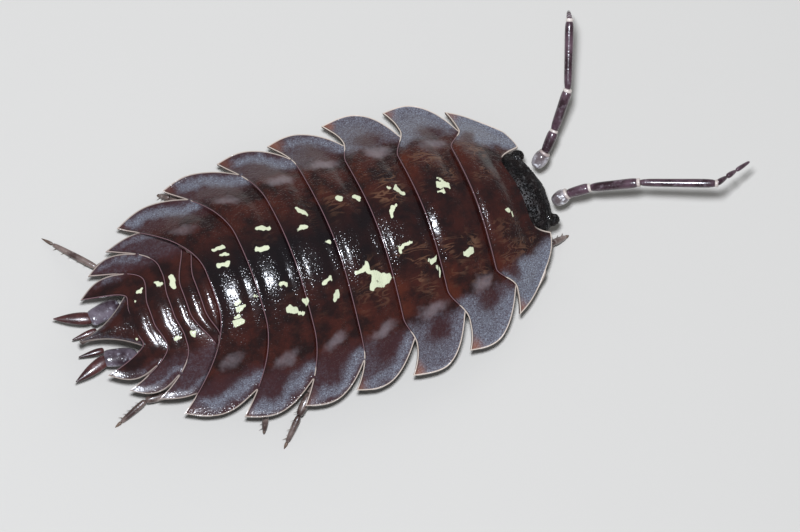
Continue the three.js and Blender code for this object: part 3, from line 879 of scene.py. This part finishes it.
# The body under the plates, with a shallow fold between each pair of legs.
bellyForm = {
    "back": 1.9,
    "front": 14.75,
    "share": 0.5,  # of the half width of the back
    "tailShare": 0.34,
    "cover": 0.42,  # room under the line of the back
    "tailCover": 0.45,  # more of it under the tail
    "tailRun": (3.2, 5.4),
    "height": 0.93,
    "fold": 0.05,
    "foldPlace": (0.25, 0.12),
    "hollow": 0.12,
    "least": 0.1,
    "ends": (1.6, 0.8),  # how blunt the two ends are
}
bellySkin = skinMaterial("bellySkin", ("6e6259", "a79a8a", "c9bfae"), 0.5, 0.4,
                         {"Subsurface Weight": 0.15, "Subsurface Scale": 0.0004}, clouds=(1800, 5),
                         pits=(9000.0, 3000.0, 0.4), uneven=0.2, bump=(0.5, 0.03))
def makeBelly():
    form = bellyForm
    piece = addBall("body_under_plates", 48, 120)
    raw = gridPlaces(piece)
    x = form["back"] + (form["front"] - form["back"]) / 2 * (1 + raw[:, 2])
    ringSize = np.sqrt(np.maximum(1e-9, 1 - raw[:, 2] ** 2))
    sideways = raw[:, 1] / np.maximum(ringSize, 1e-6)
    upward = raw[:, 0] / np.maximum(ringSize, 1e-6)
    blunt, curve = form["ends"]
    full = np.minimum(1, ringSize * blunt) ** curve
    ahead = ease(x, *form["tailRun"])
    widthShare = form["tailShare"] + (form["share"] - form["tailShare"]) * ahead
    y = widthShare * alongBody(x, 2) * full * sideways
    top = backHeight(x, y) - form["cover"] - form["tailCover"] * (1 - ahead)
    off, wide = form["foldPlace"]
    folds = sum(hump(x, plate["crown"] + off, wide) for plate in thoraxPlates)
    low = form["height"] + form["fold"] * folds + form["hollow"] * sideways ** 2
    top = np.maximum(top, low + form["least"])
    z = (top + low) / 2 + (top - low) / 2 * upward * full
    setPlaces(piece, np.column_stack([x, y, z]))
    finishPiece(piece, bellySkin, "pleon", 60)


gillFlaps = {
    "pairs": 5,
    "first": (3.6, 0.46, 0.83),
    "step": 0.33,
    "narrowing": 0.045,
    "size": (0.5, 0.44, 0.07),
    "tilt": 10,
}


def makeGillFlaps():
    # pairs of thin flaps under the tail, each lying over the next
    flaps = []
    long, wide, thick = gillFlaps["size"]
    tilt = Matrix.Rotation(math.radians(-gillFlaps["tilt"]), 4, "Y")
    for pair in range(gillFlaps["pairs"]):
        narrower = gillFlaps["narrowing"] * pair
        for side in (-1, 1):
            flap = addBall("flap", 28, 14)
            middle = Vector(gillFlaps["first"]) - Vector((gillFlaps["step"] * pair, narrower, 0))
            middle.y *= side
            shape = Matrix.Diagonal((long, wide - narrower, thick, 1))
            flap.data.transform(Matrix.Translation(middle) @ tilt @ shape)
            flaps.append(flap)
    piece = joinPieces(flaps, "gill_flaps")
    setPlaces(piece)
    finishPiece(piece, bellySkin, "pleon", 60)


makeBelly()
makeGillFlaps()
print("body under the plates made")


# Limb articles: a disc drawn out station by station, rounded at both ends.
articleEnds = {"inset": 0.04, "size": 0.55}  # shares of the length and of the radius


def article(name, start, end, radii, sides=14, flat=1.0):
    a, b = Vector(start), Vector(end)
    long = (b - a).length
    inset, endSize = articleEnds["inset"], articleEnds["size"]
    piece = addShape(bpy.ops.mesh.primitive_circle_add, name,
                     vertices=sides, radius=radii[0] * endSize, fill_type="NGON")
    bpy.ops.object.mode_set(mode="EDIT")
    bpy.ops.mesh.select_all(action="SELECT")
    stations = [inset] + [i / (len(radii) - 1) for i in range(1, len(radii) - 1)] + [1 - inset, 1.0]
    here, size = 0.0, radii[0] * endSize
    for station, radius in zip(stations, [*radii, radii[-1] * endSize]):
        rise = (0, 0, (station - here) * long)
        bpy.ops.mesh.extrude_region_move(TRANSFORM_OT_translate={"value": rise})
        bpy.ops.transform.resize(value=(radius / size, radius / size, 1))
        here, size = station, radius
    bpy.ops.mesh.select_all(action="SELECT")
    bpy.ops.mesh.normals_make_consistent(inside=False)
    bpy.ops.object.mode_set(mode="OBJECT")
    aim = (b - a).to_track_quat("Z", "Y").to_matrix().to_4x4()
    thin = Matrix.Diagonal((1, flat, 1, 1))
    piece.data.transform(Matrix.Translation(a) @ aim @ thin)
    applyModifier(piece, "SUBSURF", levels=1, render_levels=1)
    setPlaces(piece)
    return piece


def bristle(root, direction, long, radius):
    piece = addShape(bpy.ops.mesh.primitive_cone_add, "bristle", vertices=5, radius1=radius,
                     radius2=radius * 0.1, depth=long, location=(0, 0, long / 2))
    aim = Vector(direction).normalized().to_track_quat("Z", "Y").to_matrix().to_4x4()
    piece.data.transform(Matrix.Translation(Vector(root)) @ aim @ piece.matrix_world)
    piece.matrix_world = Matrix.Identity(4)
    setPlaces(piece)
    return piece


def limbMaterial(name, colours, flecks, roughness, coat):
    return skinMaterial(name, colours, flecks, roughness, {"Coat Weight": coat, "Coat Roughness": 0.1})
feelerCuticle = limbMaterial("feelerCuticle", ("2a171d", "57404a", "9a8c94"), 0.25, 0.22, 0.4)
feelerBaseCuticle = limbMaterial("feelerBaseCuticle", ("5f5354", "c3bdc0", "f4f3f6"), 0.8, 0.2, 0.6)
jointSkin = limbMaterial("jointSkin", ("a79690", "d6cbc2", "efe8df"), 0.3, 0.35, 0.1)
legCuticle = limbMaterial("legCuticle", ("3e2d29", "7b6a63", "b9aea6"), 0.3, 0.26, 0.3)
uropodFootCuticle = limbMaterial("uropodFootCuticle", ("33262c", "6d636c", "c4c3cd"), 0.35, 0.16, 0.6)
uropodCuticle = limbMaterial("uropodCuticle", ("2e1517", "4e2a28", "8a7578"), 0.3, 0.25, 0.3)
bristleHorn = limbMaterial("bristleHorn", ("3a2a24", "6e5a4c", "a89684"), 0.2, 0.35, 0.1)
print("limb materials made")


# Antennae.
feelers = {
    "left": [(15.82, 0.86, 1.4), (16.22, 1.14, 1.68), (16.68, 1.66, 2.0),
             (17.39, 2.62, 2.8), (18.09, 4.64, 3.5), (18.46, 5.21, 2.2)],
    "right": [(15.98, -0.42, 1.4), (16.43, -0.36, 1.68), (17.13, -0.46, 2.0),
              (18.56, -0.92, 2.6), (20.85, -1.81, 3.0), (22.27, -1.31, 2.3)],
}
feelerForm = {
    "base": [0.17, 0.24, 0.26, 0.22],
    "article_3": [0.14, 0.16, 0.17, 0.175, 0.18, 0.16],
    "article_4": [0.13, 0.155, 0.16, 0.16, 0.165, 0.17, 0.16],
    "article_5": [0.12, 0.135, 0.135, 0.14, 0.145, 0.15, 0.14],
    "ring": (0.07, 0.05, 0.9),  # the pale joint: behind, ahead, and share of the radius
    "flagellumParts": [(0.0, 0.3, 0.1), (0.32, 0.58, 0.09), (0.6, 1.0, 0.075)],
    "flagellumTaper": (1.0, 1.08, 0.85, 0.6),
}


def makeFeeler(side, joints):
    points = [Vector(joint) for joint in joints]
    behind, ahead, ringSize = feelerForm["ring"]
    for i, part in enumerate(("base", "article_3", "article_4", "article_5")):
        radii = feelerForm[part]
        limb = article("limb", points[i], points[i + 1], radii)
        limb.data.materials.append(feelerBaseCuticle if part == "base" else feelerCuticle)
        way = (points[i + 1] - points[i]).normalized()
        ring = article("ring", points[i + 1] - way * behind, points[i + 1] + way * ahead,
                       [radii[-1] * ringSize] * 3)
        ring.data.materials.append(jointSkin)
        node = f"antenna_{side}_{part}"
        finishPiece(joinPieces([limb, ring], f"{node}_piece"), None, node)
    start, end = points[4:]
    parts = []
    for low, high, radius in feelerForm["flagellumParts"]:
        radii = [radius * share for share in feelerForm["flagellumTaper"]]
        parts.append(article("whip", start.lerp(end, low), start.lerp(end, high), radii))
        parts[-1].data.materials.append(feelerCuticle)
    node = f"antenna_{side}_flagellum"
    finishPiece(joinPieces(parts, f"{node}_piece"), None, node)


for side, joints in feelers.items():
    makeFeeler(side, joints)
print("antennae made")


# Uropods.
uropodForm = {
    "protopod": ((1.7, 0.9, 0.74), (0.62, 0.67, 0.78), [0.2, 0.29, 0.31, 0.31, 0.3, 0.28], 0.55),
    "exopod": ((0.74, 0.69, 0.77), (-0.46, 1.09, 0.66), [0.2, 0.22, 0.21, 0.17, 0.1, 0.03], 0.6),
    "endopod": ((0.78, 0.34, 0.5), (-0.06, 0.3, 0.42), [0.1, 0.12, 0.1, 0.06, 0.03], 0.7),
}

def makeUropods():
    for side, sign in (("left", 1), ("right", -1)):
        for part, (start, end, radii, flat) in uropodForm.items():
            a, b = [(x, y * sign, z) for x, y, z in (start, end)]
            node = f"uropod_{side}_{part}"
            piece = article(f"{node}_piece", a, b, radii, flat=flat)
            finish = uropodFootCuticle if part == "protopod" else uropodCuticle
            finishPiece(piece, finish, node)


makeUropods()
print("uropods made")


# Legs: root, knee, ankle and toe of each, as in the solids.
legPaths = {
    "left": [
        [(14.15, 2.05, 0.77), (14.62, 2.4, 0.52), (14.95, 2.6, 0.38), (15.12, 2.75, 0)],
        [(12.4, 2.5, 0.95), (12.9, 3.05, 0.72), (13.2, 3.4, 0.42), (13.35, 3.6, 0)],
        [(10.7, 2.65, 1.05), (11.05, 3.2, 0.8), (11.35, 3.72, 0.45), (11.5, 3.95, 0)],
        [(9.1, 2.7, 1.08), (9.2, 3.25, 0.82), (9.3, 3.78, 0.46), (9.35, 4.0, 0)],
        [(7.6, 2.7, 1.05), (7.35, 3.25, 0.8), (7.15, 3.75, 0.46), (7.05, 3.95, 0)],
        [(6.1, 2.62, 1.05), (5.3, 3.1, 0.74), (4.5, 3.75, 0.42), (4.2, 4.05, 0)],
        [(4.55, 2.35, 1.02), (3.1, 2.4, 0.44), (1.5, 2.3, 0.4), (0.2, 3.85, 0)],
    ],
    "right": [
        [(14.1, -2.05, 0.85), (14.9, -1.95, 0.6), (15.65, -1.5, 0.5), (16.4, -1.32, 0)],
        [(12.4, -2.5, 0.95), (12.85, -3.05, 0.72), (13.1, -3.4, 0.42), (13.2, -3.6, 0)],
        [(10.7, -2.65, 1.05), (11.0, -3.2, 0.8), (11.25, -3.72, 0.45), (11.35, -3.95, 0)],
        [(9.1, -2.7, 1.08), (9.1, -3.25, 0.82), (9.05, -3.78, 0.46), (9.05, -4.0, 0)],
        [(7.6, -2.7, 1.05), (6.95, -3.3, 0.74), (6.0, -4.3, 0.42), (5.25, -5.1, 0)],
        [(6.1, -2.62, 1.02), (5.45, -3.15, 0.72), (5.0, -3.95, 0.4), (4.8, -4.45, 0)],
        [(4.55, -2.35, 1.02), (3.1, -2.35, 0.44), (1.5, -2.3, 0.4), (0.35, -2.75, 0)],
    ],
}
legForm = {
    "basis": [0.13, 0.19, 0.2, 0.16],
    "merus": [0.13, 0.17, 0.17, 0.14],
    "carpus": [0.12, 0.15, 0.15, 0.12],
    "propodus": [0.1, 0.115, 0.1, 0.08],
    "claw": [0.06, 0.06, 0.04, 0.012],
    "clawShare": 0.2,
    "meets": 0.45,  # where merus and carpus meet between knee and ankle
    "inward": (0.1, 0.55),  # how far the root runs on into the body: along the leg and sideways
    "spines": 5,  # on each of the three middle articles
    "spineSize": (0.14, 0.014),
    "spineRows": (0.12, 0.1, 0.07),  # distance from the axis of each article
    "spinePlaces": (0.2, 0.17),  # share of the length to the first, and from one to the next
    "spineLean": 0.9,
}


def makeLeg(side, number, path):
    form = legForm
    root, knee, ankle, toe = [Vector(place) for place in path]
    along, sideways = form["inward"]
    inner = root + (root - knee).normalized() * along
    inner.y -= math.copysign(sideways, root.y)
    between = knee.lerp(ankle, form["meets"])
    toe = toe + Vector((0, 0, form["claw"][-1]))
    clawRoot = ankle.lerp(toe, 1 - form["clawShare"])
    stops = [inner, knee, between, ankle, clawRoot]
    parts = [article(part, start, end, form[part], 12) for part, start, end in
             zip(("basis", "merus", "carpus", "propodus"), stops[:-1], stops[1:])]
    node = f"leg_{side}_{number}"
    piece = joinPieces(parts, f"{node}_piece")
    finishPiece(piece, legCuticle, node)
    spines = []
    first, space = form["spinePlaces"]
    for start, end, wide in zip(stops[1:-1], stops[2:], form["spineRows"]):
        way = (end - start).normalized()
        for i in range(form["spines"]):
            # two rows on the inner face, leaning towards the toe
            row = Vector((0.5 if i % 2 else -0.5, -math.copysign(0.8, root.y), 0.1))
            out = (row - way * row.dot(way)).normalized()
            base = start.lerp(end, first + space * i) + out * wide
            spines.append(bristle(base, way * form["spineLean"] + out, *form["spineSize"]))
    piece = joinPieces(spines, f"leg_spines_{side}_{number}")
    finishPiece(piece, bristleHorn, node)
    claw = article(f"claw_{side}_{number}", clawRoot, toe, form["claw"], 10)
    finishPiece(claw, bristleHorn, node)


for side, paths in legPaths.items():
    for number, path in enumerate(paths, start=1):
        makeLeg(side, number, path)
print("legs made")


# Head.
headForm = {
    "centre": (15.24, 0.12, 1.62),
    "turn": 10,
    "lumps": [
        ((0.64, 1.44, 0.72), (-0.14, 0, 0)),
        ((0.24, 0.2, 0.16), (0.3, 1.16, 0.0)),
        ((0.24, 0.2, 0.16), (0.26, -1.2, 0.0)),
        ((0.2, 0.36, 0.22), (0.32, 0, 0.06)),
        ((0.4, 0.62, 0.4), (0.24, 0, -0.36)),
    ],
    "eyes": {"left": (0.12, 1.02, 0.26), "right": (0.0, -1.08, 0.26)},
    "eyeSize": (0.18, 0.13, 0.15),
    "jaws": ((0.34, 0.26, 0.2), (0.12, 0.19, -1.12)),
    "voxel": 0.035,
    "grains": 2200,
    "grainSize": (0.014, 0.03),
    "grainFlat": 0.8,
    "grainsFrom": (15.0, -0.1),  # only ahead of this x, and only on faces that look up at least so far
    "seed": 5,
}


def onHead(place):
    turned = Matrix.Rotation(math.radians(headForm["turn"]), 3, "Z") @ Vector(place)
    return turned + Vector(headForm["centre"])


def lump(name, radii, place, segments=32, rings=20):
    piece = addBall(name, segments, rings)
    turn = Matrix.Rotation(math.radians(headForm["turn"]), 4, "Z")
    piece.data.transform(Matrix.Translation(onHead(place)) @ turn @ Matrix.Diagonal((*radii, 1)))
    return piece

headCuticle = skinMaterial("headCuticle", ("080606", "1c1413", "a8a4a0"), 0.12, 0.32,
                           {"Specular IOR Level": 0.28}, clouds=(2500, 5), fade=(0.35, 0.7),
                           pits=(15000.0, 5000.0, 0.9), uneven=0.2, bump=(1.0, 0.05))
eyeForm = {
    "facets": 46,
    "facet": 0.042,
    "ballShare": 0.86,
    "colours": (paint("050506"), paint("17161a")),
    "clouds": (6000, 2),
    "roughness": 0.1,
    "shader": {"Coat Weight": 0.6, "Coat Roughness": 0.05},
}


def eyeMaterial():
    material, tree, shader = newMaterial("eyeFacets")
    tone = cloudy(tree, objectPlace(tree), *eyeForm["clouds"])
    tree.links.new(mixColour(tree, tone, *eyeForm["colours"]), shader.inputs["Base Color"])
    uneven = reckon(tree, "MULTIPLY", tone, eyeForm["roughness"])
    tree.links.new(reckon(tree, "ADD", eyeForm["roughness"], uneven), shader.inputs["Roughness"])
    setShader(shader, **eyeForm["shader"])
    return material


eyeFacets = eyeMaterial()


def addGrains(skull):
    form = headForm
    random.seed(form["seed"])
    ahead, facing = form["grainsFrom"]
    faces = [face for face in skull.data.polygons if face.center.x > ahead and face.normal.z > facing]
    areas = np.cumsum([face.area for face in faces])
    grains = []
    model = addShape(bpy.ops.mesh.primitive_ico_sphere_add, "grain", subdivisions=1, radius=1)
    for i in range(form["grains"]):
        face = faces[int(np.searchsorted(areas, random.uniform(0, areas[-1])))]
        size = random.uniform(*form["grainSize"])
        copy = model.copy()
        copy.data = model.data.copy()
        bpy.context.scene.collection.objects.link(copy)
        aim = face.normal.to_track_quat("Z", "Y").to_matrix().to_4x4()
        shape = Matrix.Diagonal((size, size, size * form["grainFlat"], 1))
        copy.data.transform(Matrix.Translation(face.center) @ aim @ shape)
        grains.append(copy)
    bpy.data.objects.remove(model)
    return grains


def makeHead():
    parts = [lump("skull", radii, place) for radii, place in headForm["lumps"]]
    skull = joinPieces(parts, "head_skull")
    applyModifier(skull, "REMESH", mode="VOXEL", voxel_size=headForm["voxel"])
    applyModifier(skull, "SMOOTH", factor=0.5, iterations=8)
    piece = joinPieces([skull] + addGrains(skull), "head_piece")
    setPlaces(piece)
    finishPiece(piece, headCuticle, "head")


def makeEye(side, place):
    radii = [radius * eyeForm["ballShare"] for radius in headForm["eyeSize"]]
    beads = [lump("eyeball", radii, place)]
    golden = math.pi * (3 - math.sqrt(5))
    for i in range(eyeForm["facets"]):
        height = 1 - 2 * (i + 0.5) / eyeForm["facets"]
        ring = math.sqrt(1 - height * height)
        way = (ring * math.cos(golden * i), ring * math.sin(golden * i), height)
        spot = Vector(place) + Vector([way[k] * radii[k] for k in range(3)])
        beads.append(lump("facet", [eyeForm["facet"]] * 3, spot, 10, 6))
    piece = joinPieces(beads, f"eye_{side}_piece")
    setPlaces(piece)
    finishPiece(piece, eyeFacets, f"eye_{side}")


def makeJaws():
    size, (ahead, apart, height) = headForm["jaws"]
    piece = joinPieces([lump("jaw", size, (ahead, sign * apart, height)) for sign in (-1, 1)],
                       "mouthparts_piece")
    setPlaces(piece)
    finishPiece(piece, bellySkin, "mouthparts")


makeHead()
for side, place in headForm["eyes"].items():
    makeEye(side, place)
makeJaws()
print("head made")


# Floor and light.
room = {
    "floor": {"Base Color": paint("c3bfb8"), "Roughness": 0.7, "Specular IOR Level": 0.2},
    "aim": (8.5, 0, 1.5),
    "lamps": {
        "keyLamp": {"towards": (-0.165, -0.087, 0.975), "distance": 160, "size": 15,
                    "watts": 0.34, "colour": (0.86, 0.91, 1.0), "shine": True},
        "sideLamp": {"towards": (0.75, 0.65, 0.42), "distance": 190, "size": 110,
                     "watts": 0.05, "colour": (1.0, 0.98, 0.95), "shine": False},
    },
    "sky": {"Color": (0.9, 0.94, 1.0, 1), "Strength": 0.2},
}


def addLamp(name, lamp):
    towards = Vector(lamp["towards"]).normalized()
    centre = Vector(toFrame(room["aim"]))
    bpy.ops.object.light_add(type="AREA")
    made = bpy.context.object
    made.name = name
    made.location = centre + towards * lamp["distance"] * millimetre
    made.rotation_euler = towards.to_track_quat("Z", "Y").to_euler()
    made.data.size = lamp["size"] * millimetre
    made.data.energy = lamp["watts"]
    made.data.color = lamp["colour"]
    made.visible_glossy = lamp["shine"]
    made.visible_camera = False


def makeRoom():
    floor = addShape(bpy.ops.mesh.primitive_plane_add, "floor", size=4)
    material, _, shader = newMaterial("paleFloor")
    setShader(shader, **room["floor"])
    floor.data.materials.append(material)
    for name, lamp in room["lamps"].items():
        addLamp(name, lamp)
    world = bpy.data.worlds.new("softRoom")
    world.use_nodes = True
    setShader(world.node_tree.nodes["Background"], **room["sky"])
    bpy.context.scene.world = world
    bpy.context.scene.view_settings.view_transform = "Standard"


makeRoom()
print("floor and lights placed")
